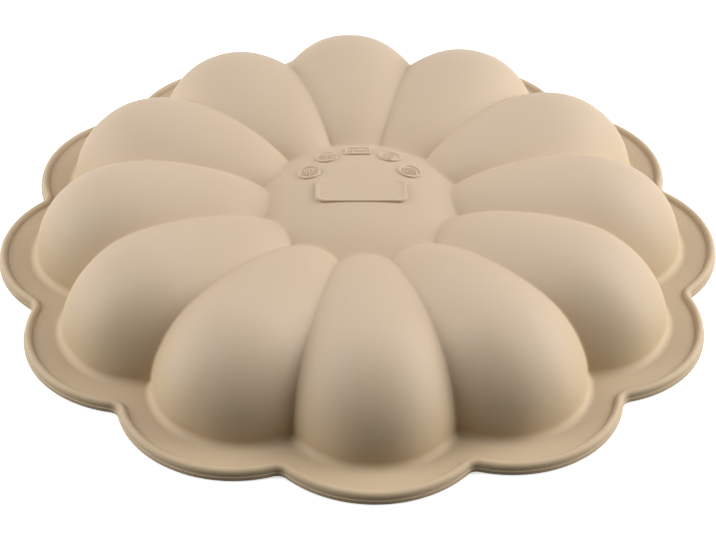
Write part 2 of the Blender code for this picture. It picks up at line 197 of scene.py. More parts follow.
def rimLine(inset, shares):
    # lobe arc between two half arcs of the notches, each about its own centre, with the inset taken off the
    # lobe's radius and added to the notch's
    s = rimShape
    centre = s["reach"] - s["lobeRadius"]
    reach = s["lobeRadius"] + s["notchFillet"]
    notch = centre * math.cos(halfSector) + math.sqrt(reach ** 2 - (centre * math.sin(halfSector)) ** 2)
    join = math.atan2(notch * math.sin(halfSector), notch * math.cos(halfSector) - centre)
    lobeLength = s["lobeRadius"] * join
    notchLength = (s["notchFillet"] + 0.5 * s["beadWidth"]) * (join - halfSector)
    travelled = np.abs(shares) * (lobeLength + notchLength)
    lobeTurn = np.minimum(travelled, lobeLength) / s["lobeRadius"]
    lobeU = centre + (s["lobeRadius"] - inset) * np.cos(lobeTurn)
    lobeW = (s["lobeRadius"] - inset) * np.sin(lobeTurn)
    past = np.clip((travelled - lobeLength) / notchLength, 0.0, 1.0)
    notchTurn = math.pi + join - past * (join - halfSector)
    notchU = notch * math.cos(halfSector) + (s["notchFillet"] + inset) * np.cos(notchTurn)
    notchW = notch * math.sin(halfSector) + (s["notchFillet"] + inset) * np.sin(notchTurn)
    onNotch = travelled > lobeLength
    return np.where(onNotch, notchU, lobeU), np.sign(shares) * np.where(onNotch, notchW, lobeW)


def beadProfile():
    # section of the rim as inset and height: hollow fillet, oval top, groove, rounded lip and rounded base,
    # each a part of a circle or oval written with a sine and a cosine
    s = rimShape
    fillet = np.linspace(0.0, quarterTurn, s["filletSteps"] + 1)
    insets = [s["beadWidth"] + s["innerFillet"] * (1.0 - np.sin(fillet))]
    heights = [s["flangeTop"] + s["innerFillet"] * (1.0 - np.cos(fillet))]
    middle = 0.5 * (s["beadWidth"] + s["lipStep"])
    half = 0.5 * (s["beadWidth"] - s["lipStep"])
    tall = s["beadRound"]
    start = math.asin((s["flangeTop"] + s["innerFillet"] - s["beadTop"] + tall) / tall)
    over = np.linspace(start, math.pi, s["topSteps"] + 1)
    insets.append(middle + half * np.cos(over))
    heights.append(s["beadTop"] - tall + tall * np.sin(over))
    turn = np.linspace(0.0, quarterTurn, s["edgeSteps"] + 1)[1:]
    insets.append(s["lipStep"] - 0.5 * s["lipStep"] * (1.0 - np.cos(turn)))
    heights.append(s["lipTop"] + s["grooveHeight"] - s["grooveHeight"] * np.sin(turn))
    insets.append(0.5 * s["lipStep"] * (1.0 - np.sin(turn)))
    heights.append(s["lipTop"] - s["lipRounding"] * (1.0 - np.cos(turn)))
    insets.append(s["baseRounding"] * (1.0 - np.cos(turn)) * np.array(s["baseShares"]))
    heights.append(s["baseRounding"] * (1.0 - np.sin(turn)))
    return np.concatenate(insets), np.concatenate(heights)


def planRow(u, w, z):
    # points of the first petal: x is w, y is minus u, and z is the height
    return np.stack([w, -u, np.broadcast_to(z, u.shape)], axis=-1)


def outerSurface():
    # one petal's share of the outside, row by row: circles on the dome and the noses, rows between the last
    # circle and the foot's curve, the foot's fillet, rows across the flange, and the rim's section
    t = np.linspace(-1.0, 1.0, moulding["columns"] + 1)
    shares = (1.0 - moulding["crowding"]) * t + moulding["crowding"] * np.sin(quarterTurn * t)
    angles = halfSector * shares
    rows = []
    marks = {}
    part = domeShape["partRadius"]
    inside = part * np.sin(np.linspace(0.0, quarterTurn, moulding["domeRows"] + 1))
    outside = np.linspace(part, domeShape["radius"] + petalShape["noseLength"], moulding["noseRows"] + 1)[1:]
    for r in np.concatenate([inside, outside]):
        u, w = r * np.cos(angles), r * np.sin(angles)
        rows.append(planRow(u, w, blended(domeHeight(u, w), petalHeight(u, w), domeShape["softness"])))
    marks["edge"] = moulding["domeRows"]
    marks["nose"] = len(rows) - 1
    startU, startW = u, w
    footU, footW = footLine(0.0, shares)
    for share in np.sin(np.linspace(0.0, quarterTurn, moulding["bodyRows"] + 1)[1:]):
        u = startU + (footU - startU) * share
        w = startW + (footW - startW) * share
        rows.append(planRow(u, w, petalHeight(u, w)))
    fillet = petalShape["footFillet"]
    for turn in np.linspace(0.0, quarterTurn, moulding["filletRows"] + 1)[1:]:
        u, w = footLine(fillet * (1.0 - math.cos(turn)), shares)
        rows.append(planRow(u, w, footLevel - fillet * math.sin(turn)))
    marks["foot"] = len(rows) - 1
    insets, heights = beadProfile()
    endU, endW = rimLine(insets[0], shares)
    startU, startW = u, w
    for share in np.linspace(0.0, 1.0, moulding["flangeRows"] + 1)[1:]:
        u = startU + (endU - startU) * share
        w = startW + (endW - startW) * share
        rows.append(planRow(u, w, rimShape["flangeTop"]))
    marks["bead"] = len(rows) - 1
    for inset, height in zip(insets[1:], heights[1:]):
        rows.append(planRow(*rimLine(inset, shares), height))
    return np.array(rows), marks, shares


def turned(points, angle):
    # points turned about the upright axis
    c, s = math.cos(angle), math.sin(angle)
    return points @ np.array([[c, s, 0.0], [-s, c, 0.0], [0.0, 0.0, 1.0]])


def withNeighbours(grid):
    # the same rows carried on over the petals on both sides
    before = turned(grid, -2.0 * halfSector)[:, :-1]
    after = turned(grid, 2.0 * halfSector)[:, 1:]
    return np.concatenate([before, grid, after], axis=1)


def bellWeights(travelled, centres, reach):
    # bell curve of the distance along the line, times each point's share of the line
    share = np.gradient(travelled, axis=-1) + leastLength
    distance = travelled[:, None, :] - centres[:, :, None]
    weights = np.exp(-0.5 * (distance / reach[..., None]) ** 2) * share[:, None, :]
    return weights / weights.sum(axis=-1, keepdims=True)


def lineLengths(lines):
    # distance travelled along each line of points, counted from its start
    steps = np.linalg.norm(np.diff(lines, axis=1), axis=-1)
    return np.concatenate([np.zeros((len(lines), 1)), np.cumsum(steps, axis=1)], axis=1)


def softenAcross(grid, reach):
    # every row is averaged along its own length, so a crease becomes a fillet and a long curve stays
    wide = withNeighbours(grid)
    travelled = lineLengths(wide)
    n = moulding["columns"]
    reach = np.maximum(np.broadcast_to(reach[:, None], (len(grid), n + 1)), leastReach)
    weights = bellWeights(travelled, travelled[:, n:2 * n + 1], reach)
    return np.einsum("rck,rkx->rcx", weights, wide)


def softenAlong(grid, reach):
    # the same average down every column, from the dome to the rim
    columns = grid.transpose(1, 0, 2)
    travelled = lineLengths(columns)
    reach = np.maximum(np.broadcast_to(reach[None, :], travelled.shape), leastReach)
    weights = bellWeights(travelled, travelled, reach)
    return np.einsum("crk,ckx->rcx", weights, columns)


def softened(grid, marks):
    # fillets the creases, the noses and the feet, and leaves the dome's middle and the rim as they are:
    # the reach of each average runs in straight lines between stops along the rows
    s = softening
    count = len(grid)
    rows = np.arange(count)
    edge, nose, foot, bead = marks["edge"], marks["nose"], marks["foot"], marks["bead"]
    acrossStops = [0, edge - s["creaseStart"], edge + s["creaseFull"], nose + s["settled"],
                   foot - s["footFull"], foot, bead, count]
    acrossReach = [0.0, 0.0, s["crease"], s["crease"], s["foot"], s["foot"], 0.0, 0.0]
    alongStops = [0, edge - s["noseStart"], edge - s["noseFull"], edge + s["noseFull"],
                  nose + s["settled"], foot, foot + s["footEnd"], count]
    alongReach = [0.0, 0.0, s["nose"], s["nose"], s["body"], s["body"], 0.0, 0.0]
    grid = softenAcross(grid, np.interp(rows, acrossStops, acrossReach))
    return softenAlong(grid, np.interp(rows, alongStops, alongReach))


def gridNormals(grid, neighbours=True):
    # each point's normal is the sum of the cross products of the four faces round it
    wide = withNeighbours(grid) if neighbours else grid
    down = wide[1:, 1:] - wide[:-1, :-1]
    back = wide[:-1, 1:] - wide[1:, :-1]
    faces = np.cross(down, back)
    total = np.zeros_like(wide)
    total[:-1, :-1] += faces
    total[1:, :-1] += faces
    total[:-1, 1:] += faces
    total[1:, 1:] += faces
    total /= np.maximum(np.linalg.norm(total, axis=-1, keepdims=True), leastArea)
    if neighbours:
        n = moulding["columns"]
        total = total[:, n:2 * n + 1]
    return total


def faceCorners(grid):
    # the four corners of every face of a grid, in turn
    corners = np.stack([grid[:-1, :-1], grid[1:, :-1], grid[1:, 1:], grid[:-1, 1:]], axis=2)
    return corners.reshape(-1, 4, 3)


def patchFaces(patch, normals=None, flip=False):
    # a grid's faces as corner points and corner normals; with no normals given, each face is flat, with the
    # cross product of its diagonals as its normal
    corners = faceCorners(patch)
    if normals is None:
        flat = np.cross(corners[:, 2] - corners[:, 0], corners[:, 3] - corners[:, 1])
        flat /= np.maximum(np.linalg.norm(flat, axis=-1, keepdims=True), leastArea)
        cornerNormals = np.repeat(-flat[:, None, :] if flip else flat[:, None, :], 4, axis=1)
    else:
        cornerNormals = faceCorners(normals)
    if flip:
        corners, cornerNormals = corners[:, ::-1], cornerNormals[:, ::-1]
    return corners, cornerNormals


def weldedPiece(name, patches, material):
    # corner points that agree are made one, so the patches close into a solid skin, and a face with two
    # corners in one place becomes a triangle; the volume is a sixth of the sum of the triple products
    corners = np.concatenate([patch[0] for patch in patches])
    normals = np.concatenate([patch[1] for patch in patches])
    keys = np.round(corners.reshape(-1, 3) * weldsPerMetre).astype(np.int64)
    _, first, index = np.unique(keys, axis=0, return_index=True, return_inverse=True)
    points = corners.reshape(-1, 3)[first]
    index = index.reshape(-1, 4)
    same = index == np.roll(index, -1, axis=1)
    whole = ~same.any(axis=1)
    pinched = same.sum(axis=1) == 1
    keep = ~same[pinched]
    triangles = index[pinched][keep].reshape(-1, 3)
    triangleNormals = normals[pinched][keep].reshape(-1, 3, 3)
    mesh = bpy.data.meshes.new(name)
    mesh.from_pydata(points.tolist(), [], index[whole].tolist() + triangles.tolist())
    mesh.shade_smooth()
    loopNormals = np.concatenate([normals[whole].reshape(-1, 3), triangleNormals.reshape(-1, 3)])
    mesh.normals_split_custom_set(loopNormals.tolist())
    mesh.materials.append(material)
    piece = bpy.data.objects.new(name, mesh)
    bpy.context.scene.collection.objects.link(piece)
    fan = np.concatenate([index[whole][:, [0, 1, 2]], index[whole][:, [0, 2, 3]], triangles])
    a, b, c = points[fan[:, 0]], points[fan[:, 1]], points[fan[:, 2]]
    volume = np.einsum("ij,ij->", a, np.cross(b, c)) / 6.0
    print(f"{name}: {len(fan)} triangles, {volume * 1e6:.2f} cm3")
    return piece


def claim(piece, node):
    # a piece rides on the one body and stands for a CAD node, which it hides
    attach(piece, "root")
    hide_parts(node)


silicone = {
    # painted light and shade: the foot's colour is darker and warmer and the crest's paler and bluer,
    # standing in for the light that falls on the tops
    "paintedShadeFootColour": (0.521, 0.398, 0.252),
    "paintedLightCrestColour": (0.524, 0.408, 0.289),
    "paintedSheenFrom": 0.014,        # painted light: the colour grows paler and bluer from this height, a painted sheen on the higher parts
    "paintedSheenTo": 0.036,          # to this one
    "shade": (0.488, 0.367, 0.242),
    "roughness": 0.58,
    "roughnessSwing": 0.05,
    "specular": 0.35,
    "cloudScale": 28.0,
    "cloudDetail": 3.0,
    "cloudFrom": 0.3,         # the noise's value where a cloud begins
    "cloudTo": 0.7,           # and where it is full
    "cloudAmount": 0.22,
    "grainScale": 2600.0,
    "grainDepth": 0.000035,
    "grainStrength": 0.8,
    "rippleScale": 240.0,
    "rippleDepth": 0.00005,
    "rippleStrength": 0.6,
    "fineDetail": 2.0,
}


def noiseNode(tree, place, scale, detail):
    # fractal noise of a point's own place
    node = tree.nodes.new("ShaderNodeTexNoise")
    node.inputs["Scale"].default_value = scale
    node.inputs["Detail"].default_value = detail
    tree.links.new(place, node.inputs["Vector"])
    return node.outputs["Fac"]


def rangeNode(tree, value, fromRange, toRange):
    # straight line from one range of values to another, held at its ends
    node = tree.nodes.new("ShaderNodeMapRange")
    node.inputs["From Min"].default_value, node.inputs["From Max"].default_value = fromRange
    node.inputs["To Min"].default_value, node.inputs["To Max"].default_value = toRange
    tree.links.new(value, node.inputs["Value"])
    return node.outputs["Result"]


def mixNode(tree, share, first, second):
    # share of the way from the first colour to the second; a colour is three numbers or another node's output
    node = tree.nodes.new("ShaderNodeMix")
    node.data_type = "RGBA"
    tree.links.new(share, node.inputs["Factor"])
    for name, colour in (("A", first), ("B", second)):
        if isinstance(colour, tuple):
            node.inputs[name].default_value = (*colour, 1.0)
        else:
            tree.links.new(colour, node.inputs[name])
    return node.outputs["Result"]


def bumpNode(tree, height, depth, strength, before=None):
    # tilts the normal by the slope of a height, on top of an earlier bump
    node = tree.nodes.new("ShaderNodeBump")
    node.inputs["Distance"].default_value = depth
    node.inputs["Strength"].default_value = strength
    tree.links.new(height, node.inputs["Height"])
    if before is not None:
        tree.links.new(before, node.inputs["Normal"])
    return node.outputs["Normal"]


def siliconeMaterial(name, s):
    # matte moulded silicone: a colour painted paler and bluer with height, a painted sheen on the tops,
    # clouded by noise, a roughness that swings with a slow ripple, and the ripple and a fine grain as bumps
    material = bpy.data.materials.new(name)
    material.use_nodes = True
    tree = material.node_tree
    shader = tree.nodes["Principled BSDF"]
    place = tree.nodes.new("ShaderNodeTexCoord").outputs["Object"]
    split = tree.nodes.new("ShaderNodeSeparateXYZ")
    tree.links.new(place, split.inputs["Vector"])
    cloud = noiseNode(tree, place, s["cloudScale"], s["cloudDetail"])
    grain = noiseNode(tree, place, s["grainScale"], s["fineDetail"])
    ripple = noiseNode(tree, place, s["rippleScale"], s["fineDetail"])
    # painted light: a share that grows with height, from the foot's painted shade to the crest's painted
    # sheen
    fade = rangeNode(tree, split.outputs["Z"], (s["paintedSheenFrom"], s["paintedSheenTo"]), (0.0, 1.0))
    clouding = rangeNode(tree, cloud, (s["cloudFrom"], s["cloudTo"]), (0.0, s["cloudAmount"]))
    swing = (s["roughness"] - s["roughnessSwing"], s["roughness"] + s["roughnessSwing"])
    # painted light: the base colour runs from the painted shade at the foot to the painted sheen at the crest
    paintedLightColour = mixNode(tree, fade, s["paintedShadeFootColour"], s["paintedLightCrestColour"])
    tint = mixNode(tree, clouding, paintedLightColour, s["shade"])
    rippleBump = bumpNode(tree, ripple, s["rippleDepth"], s["rippleStrength"])
    grainBump = bumpNode(tree, grain, s["grainDepth"], s["grainStrength"], rippleBump)
    tree.links.new(tint, shader.inputs["Base Color"])
    tree.links.new(rangeNode(tree, ripple, (0.0, 1.0), swing), shader.inputs["Roughness"])
    tree.links.new(grainBump, shader.inputs["Normal"])
    shader.inputs["Specular IOR Level"].default_value = s["specular"]
    print("material:", name)
    return material


matteSilicone = siliconeMaterial("matteSilicone", silicone)

# The moulding, shaped as one skin and parted where the CAD part is
outer, marks, shares = outerSurface()
outer = softened(outer, marks)
outer[:, 0] = turned(outer[:, -1], -2.0 * halfSector)    # the first column meets the petal before it
outer[0] = outer[0].mean(axis=0)
outerNormals = gridNormals(outer)
outerNormals[0] = (0.0, 0.0, 1.0)

# The inside is the outside moved in by the wall along its normals, and the flange goes down to the table
skirt = marks["bead"] + 1
inner = outer[:skirt] - moulding["wall"] * outerNormals[:skirt]
inner[marks["foot"]:, :, 2] = 0.0
innerNormals = -gridNormals(inner)
innerNormals[0] = (0.0, 0.0, -1.0)
crestTop = 1000.0 * float(outer[..., 2].max())
print(f"skin: {outer.shape[0]} rows, {outer.shape[1]} columns, {crestTop:.2f} mm high")


def allRound(grid):
    # one petal's grid repeated into a full turn, the seam column written twice so that it welds shut
    turns = [turned(grid, 2.0 * halfSector * k)[:, (0 if k == 0 else 1):] for k in range(moulding["petals"])]
    ring = np.concatenate(turns, axis=1)
    ring[:, -1] = ring[:, 0]
    return ring


def skinPatches(first, last, around):
    # the skin between two rows, all round or for one petal: outside, inside and the strips at their edges
    rows = slice(first, last + 1)
    grids = [outer[rows], outerNormals[rows], inner[rows], innerNormals[rows]]
    if around:
        grids = [allRound(grid) for grid in grids]
    out, outNormals, back, backNormals = grids
    patches = [patchFaces(out, outNormals), patchFaces(back, backNormals, flip=True)]
    if first > 0:
        patches.append(patchFaces(np.stack([out[0], back[0]]), flip=True))
    patches.append(patchFaces(np.stack([out[-1], back[-1]])))
    if not around:
        patches.append(patchFaces(np.stack([out[:, 0], back[:, 0]], axis=1), flip=True))
        patches.append(patchFaces(np.stack([out[:, -1], back[:, -1]], axis=1)))
    return patches


def makePetals():
    # one petal's skin, turned about the axis by a whole number of petals
    patches = skinPatches(marks["edge"], marks["foot"], around=False)
    for k in range(moulding["petals"]):
        angle = 2.0 * halfSector * k
        here = [(turned(corners, angle), turned(normals, angle)) for corners, normals in patches]
        piece = weldedPiece(f"petalSkin_{k + 1:02d}", here, matteSilicone)
        claim(piece, f"petal_cup_{k + 1:02d}")


def makeDome():
    # the skin from the axis to the first row of the petals' pieces
    piece = weldedPiece("domeSkin", skinPatches(0, marks["edge"], around=True), matteSilicone)
    claim(piece, "centre_dome")


def makeFlange():
    # the skin from the petals' feet to the bead
    piece = weldedPiece("flangeSkin", skinPatches(marks["foot"], marks["bead"], around=True), matteSilicone)
    claim(piece, "rim_flange")


def makeBead():
    # the rim's own rows, then its flat underside back to the flange
    first = marks["bead"]
    out, outNormals = allRound(outer[first:]), allRound(outerNormals[first:])
    insets = np.linspace(rimShape["baseRounding"], beadProfile()[0][0], rimShape["undersideRows"])
    under = np.array([planRow(*rimLine(inset, shares), 0.0) for inset in insets])
    under[0] = outer[-1]
    under[-1] = inner[first]
    below = allRound(under)
    patches = [patchFaces(out, outNormals), patchFaces(below), patchFaces(np.stack([below[-1], out[0]]))]
    claim(weldedPiece("rimBeadSkin", patches, matteSilicone), "rim_bead")


makePetals()
makeDome()
makeFlange()
makeBead()

# The bare pad and the bosses with their care signs, on the dome
bossGrid = {
    "cornerSteps": 12,
    "leastCorner": 0.0002,
    "borderWay": 0.625,       # the border's inner side and top take this share of the way to the edge
    "borderSteps": 5,
    "edgeSteps": 4,
}
pad = {
    "length": 0.0350,
    "width": 0.0140,
    "corner": 0.0036,
    "rise": 0.00042,
    "border": 0.0013,
    "recess": 0.00042,
    "rounding": 0.0003,
    "centre": -0.0028,        # its middle along y
    "turn": math.radians(-1.5),
    "proud": 0.0001,          # the pad's face over the dome's middle
    "rearFade": 0.0016,       # the border sinks away over this length towards the rear edge
    "cornerTurn": 0.0045,     # and stays this far round the rear corners
    "sink": 0.0009,           # how far the wall goes down into the dome
    "floorSteps": 7,
    "roundSteps": 160,
}
careMarks = {
    "roundBoss": {"length": 0.0092, "width": 0.0092, "corner": 0.00459},
    "oblongBoss": {"length": 0.0103, "width": 0.0074, "corner": 0.0015},
    "rise": 0.0006,
    "border": 0.0007,
    "recess": 0.00053,
    "rounding": 0.00025,
    "sink": 0.0009,
    "arcRadius": 0.0201,
    "arcCentre": 0.0063,
    "arcSpacing": math.radians(38.0),
    "turn": math.radians(-0.4),
    "floorSteps": 48,         # steps from a boss's middle to its border
    "roundSteps": 240,
    "strokeWidth": 0.00040,   # from the middle of a stroke to where it has sunk away
    "strokeFlat": 0.3,        # share of that at full height
    "strokeRise": 0.00045,
}

# Generic care signs: strokes in millimetres about a boss's middle
millimetre = 0.001
snow = {
    "arms": 6,
    "start": 30.0,            # degrees
    "length": 2.7,
    "forkAt": 1.4,
    "forkLength": 0.9,
    "forkTurn": 60.0,         # degrees
}
waves = {
    "reach": 2.4,
    "length": 2.4,
    "height": 0.42,
    "levels": (-1.4, 0.0, 1.4),
    "steps": 32,
}
heat = {
    "bulb": (-2.6, 0.0),
    "bulbRadius": 0.75,
    "bulbSteps": 16,
    "tubeEnd": 3.3,
    "marksAt": (-0.7, 0.4, 1.5, 2.6),
    "markTop": 1.0,
}
wash = {
    "plate": (0.0, -0.8),
    "plateRadius": 1.7,
    "plateSteps": 32,
    "wellRadius": 0.8,
    "wellSteps": 16,
    "dropsAt": (-1.2, 0.0, 1.2),
    "dropLow": 1.4,
    "dropTop": 2.4,
    "dropSlant": 0.25,
}
oven = {
    "low": (-2.2, -1.9),
    "high": (2.2, 1.9),
    "panel": 1.0,
    "windowLow": (-1.2, -1.1),
    "windowHigh": (1.2, 0.2),
}


def ringStroke(centre, radius, steps):
    # a circle about a centre
    turn = np.linspace(0.0, 2.0 * math.pi, steps + 1)
    return np.stack([centre[0] + radius * np.cos(turn), centre[1] + radius * np.sin(turn)], axis=-1)


def boxStroke(low, high):
    # an upright rectangle between two corners
    return np.array([low, (high[0], low[1]), high, (low[0], high[1]), low])


def lineStroke(x0, y0, x1, y1):
    # a straight line between two points
    return np.array([(x0, y0), (x1, y1)])


def snowSign():
    # even arms about the middle, each with a short branch on both sides at one angle to it
    strokes = []
    for k in range(snow["arms"]):
        turn = math.radians(360.0 / snow["arms"] * k + snow["start"])
        x, y = math.cos(turn), math.sin(turn)
        strokes.append(lineStroke(0.0, 0.0, snow["length"] * x, snow["length"] * y))
        for side in (-1.0, 1.0):
            aside = turn + side * math.radians(snow["forkTurn"])
            forkX, forkY = snow["forkAt"] * x, snow["forkAt"] * y
            strokes.append(lineStroke(forkX, forkY, forkX + snow["forkLength"] * math.cos(aside),
                                      forkY + snow["forkLength"] * math.sin(aside)))
    return strokes


def waveSign():
    # sine waves one above the other
    x = np.linspace(-waves["reach"], waves["reach"], waves["steps"] + 1)
    y = waves["height"] * np.sin(x * 2.0 * math.pi / waves["length"])
    return [np.stack([x, level + y], axis=-1) for level in waves["levels"]]


def heatSign():
    # a lying thermometer: a circle, a line from its edge, and marks that stand on the line
    x, y = heat["bulb"]
    tube = lineStroke(x + heat["bulbRadius"], y, heat["tubeEnd"], y)
    steps = [lineStroke(at, y, at, heat["markTop"]) for at in heat["marksAt"]]
    return [ringStroke(heat["bulb"], heat["bulbRadius"], heat["bulbSteps"]), tube] + steps


def washSign():
    # two circles about one centre, under slanting drops
    s = wash
    drops = [lineStroke(at, s["dropLow"], at - s["dropSlant"], s["dropTop"]) for at in s["dropsAt"]]
    rim = ringStroke(s["plate"], s["plateRadius"], s["plateSteps"])
    well = ringStroke(s["plate"], s["wellRadius"], s["wellSteps"])
    return [rim, well] + drops


def ovenSign():
    # a rectangle with a line across it and a smaller rectangle inside
    panel = lineStroke(oven["low"][0], oven["panel"], oven["high"][0], oven["panel"])
    return [boxStroke(oven["low"], oven["high"]), boxStroke(oven["windowLow"], oven["windowHigh"]), panel]


def ramp(value, low, high):
    # nought below low, one above high, three squares less two cubes of the way between them
    way = np.clip((value - low) / (high - low), 0.0, 1.0)
    return way * way * (3.0 - 2.0 * way)


def strokeRelief(points, strokes):
    # height over the floor: full near a stroke's middle line, then a ramp of the distance down to nought
    s = careMarks
    starts = millimetre * np.concatenate([stroke[:-1] for stroke in strokes])
    ends = millimetre * np.concatenate([stroke[1:] for stroke in strokes])
    along = ends - starts
    offset = points[:, None, :] - starts[None]
    way = np.clip(np.einsum("psx,sx->ps", offset, along) / (along ** 2).sum(axis=-1), 0.0, 1.0)
    distance = np.linalg.norm(offset - way[..., None] * along[None], axis=-1).min(axis=1)
    return s["strokeRise"] * (1.0 - ramp(distance, s["strokeFlat"] * s["strokeWidth"], s["strokeWidth"]))


def bossOutline(plate, inset):
    # four straight sides and four quarter arcs drawn in by the inset, counter-clockwise and closed, and read
    # at even steps of the length
    corner = max(plate["corner"] - inset, bossGrid["leastCorner"])
    alongX = 0.5 * (plate["length"] - 2 * inset) - corner
    alongY = 0.5 * (plate["width"] - 2 * inset) - corner
    turn = np.linspace(0.0, quarterTurn, bossGrid["cornerSteps"] + 1)
    parts = []
    for quarter, (sideX, sideY) in enumerate(((1, 1), (-1, 1), (-1, -1), (1, -1))):
        angle = turn + quarterTurn * quarter
        arc = [sideX * alongX + corner * np.cos(angle), sideY * alongY + corner * np.sin(angle)]
        parts.append(np.stack(arc, axis=-1))
    points = np.concatenate(parts + [parts[0][:1]])
    travelled = np.concatenate([[0.0], np.cumsum(np.linalg.norm(np.diff(points, axis=0), axis=1))])
    at = np.linspace(0.0, travelled[-1], plate["roundSteps"] + 1)
    return np.stack([np.interp(at, travelled, points[:, 0]), np.interp(at, travelled, points[:, 1])], axis=-1)


def bossRows(plate, strokes=()):
    # rows of a flat boss from its middle outwards: a recessed floor with its strokes, a border that rises by
    # a sine to a flat top, and a quarter circle down to the wall
    band = plate["border"] + plate["rounding"]
    floor = plate["rise"] - plate["recess"]
    outline = bossOutline(plate, band)
    rows = []
    for share in np.linspace(0.0, 1.0, plate["floorSteps"] + 1)[:-1]:
        relief = strokeRelief(share * outline, strokes) if strokes else np.zeros(len(outline))
        rows.append(np.column_stack([share * outline, floor + relief]))
    way = np.linspace(0.0, bossGrid["borderWay"], bossGrid["borderSteps"] + 1)
    turn = np.linspace(0.0, quarterTurn, bossGrid["edgeSteps"] + 1)
    insets = np.concatenate([band * (1.0 - way), plate["rounding"] * (1.0 - np.sin(turn))])
    top = floor + plate["recess"] * np.sin(math.pi * np.minimum(way, 0.5))
    heights = np.concatenate([top, plate["rise"] - plate["rounding"] * (1.0 - np.cos(turn))])
    for inset, height in zip(insets, heights):
        outline = bossOutline(plate, inset)
        rows.append(np.column_stack([outline, np.full(len(outline), height)]))
    return np.array(rows)


def seatOnDome(rows, x, y):
    # tilts rows that stand on z = 0 to the dome's slope at x, y, and lifts them there
    near = 1e-5    # distance over which the slope is read
    slopeX = (domeHeight(x + near, y) - domeHeight(x - near, y)) / (2.0 * near)
    slopeY = (domeHeight(x, y + near) - domeHeight(x, y - near)) / (2.0 * near)
    normal = Vector((-slopeX, -slopeY, 1.0)).normalized()
    tilt = np.array(Vector((0.0, 0.0, 1.0)).rotation_difference(normal).to_matrix())
    return rows @ tilt.T + np.array([x, y, float(domeHeight(x, y))])


def bossPiece(name, rows, material):
    # the last row lies inside the dome's wall, and the piece closes there on the row's mean point
    normals = -gridNormals(rows[:, ::-1], neighbours=False)[:, ::-1]
    closing = normals[:, 0] + normals[:, -1]
    normals[:, 0] = normals[:, -1] = closing / np.linalg.norm(closing, axis=-1, keepdims=True)
    normals[0] = normals[1].mean(axis=0) / np.linalg.norm(normals[1].mean(axis=0))
    last = rows[-1]
    middle = np.repeat(last[:-1].mean(axis=0)[None, :], len(last), axis=0)
    patches = [patchFaces(rows, normals), patchFaces(np.stack([last, middle]))]
    return weldedPiece(name, patches, material)


def makeBosses():
    # bosses at even angles on an arc behind the pad, from left to right, the oblong one in the middle
    s = careMarks
    places = [("bossSkin_1", "care_boss_1", -2, "roundBoss", snowSign),
              ("bossSkin_2", "care_boss_2", -1, "roundBoss", waveSign),
              ("tileSkin", "care_tile", 0, "oblongBoss", heatSign),
              ("bossSkin_3", "care_boss_3", 1, "roundBoss", washSign),
              ("bossSkin_4", "care_boss_4", 2, "roundBoss", ovenSign)]
    for name, node, step, form, sign in places:
        angle = quarterTurn - step * s["arcSpacing"]
        x = s["arcRadius"] * math.cos(angle)
        y = s["arcCentre"] + s["arcRadius"] * math.sin(angle)
        rows = bossRows({**s, **s[form]}, sign())
        sunk = rows[-1].copy()
        sunk[:, 2] = -s["sink"]
        rows = np.concatenate([rows, sunk[None]])
        rows = turned(seatOnDome(rows, x, y), s["turn"])
        claim(bossPiece(name, rows, matteSilicone), node)


def makePad():
    # a level plate over the dome: its wall is tall at the corners, where the dome falls away, and its border
    # is lost along the rear edge, where the plate comes out of the dome
    s = pad
    face = float(domeHeight(0.0, 0.0)) + s["proud"]
    rows = bossRows(s)
    rearEdge = 0.5 * s["width"] - s["border"]
    sideEdge = 0.5 * s["length"] - s["border"]
    rear = ramp(rows[..., 1], rearEdge - s["rearFade"], rearEdge)
    middle = 1.0 - ramp(np.abs(rows[..., 0]), 0.5 * s["length"] - s["cornerTurn"], sideEdge)
    rows[..., 2] *= 1.0 - rear * middle
    rows = turned(rows, s["turn"]) + np.array([0.0, s["centre"], face])
    sunk = rows[-1].copy()
    sunk[:, 2] = domeHeight(sunk[:, 0], sunk[:, 1]) - s["sink"]
    piece = bossPiece("padSkin", np.concatenate([rows, sunk[None]]), matteSilicone)
    claim(piece, "badge_plaque")


makeBosses()
makePad()

# Camera at the photograph's angle
cameraPlace = {
    "distance": 0.83550,
    "height": math.radians(37.948),
    "round": math.radians(-3.507),
    "yaw": 0.000523,          # radians, as are the next two
    "pitch": 0.008425,
    "roll": 0.020990,
    "lens": 107.168,
    "sensor": 36.0,
    "clipStart": 0.01,
    "clipEnd": 20.0,
}


def axisTurn(angle, axis):
    # matrix of a turn about one axis
    return np.array(Matrix.Rotation(angle, 3, axis))


def makeCamera():
    # the camera stands away from the origin by its distance at its height, turned round the upright axis;
    # it looks at the origin, and is then turned by its yaw, pitch and roll
    s = cameraPlace
    away = s["distance"] * np.array([0.0, -math.cos(s["height"]), math.sin(s["height"])])
    forward = -away / s["distance"]
    right = np.array([1.0, 0.0, 0.0])
    look = np.array([right, -np.cross(right, forward), forward])
    look = axisTurn(s["roll"], "Z") @ axisTurn(s["pitch"], "X") @ axisTurn(s["yaw"], "Y") @ look
    look = look @ axisTurn(-s["round"], "Z")
    data = bpy.data.cameras.new("photoCamera")
    data.lens = s["lens"]
    data.sensor_width = s["sensor"]
    data.sensor_fit = "HORIZONTAL"
    data.clip_start = s["clipStart"]
    data.clip_end = s["clipEnd"]
    camera = bpy.data.objects.new("photoCamera", data)
    bpy.context.scene.collection.objects.link(camera)
    matrix = Matrix(np.array([look[0], -look[1], -look[2]]).T.tolist()).to_4x4()
    matrix.translation = (axisTurn(s["round"], "Z") @ away).tolist()
    camera.matrix_world = matrix
    bpy.context.scene.camera = camera
    print("camera:", s["lens"], "mm lens")


makeCamera()

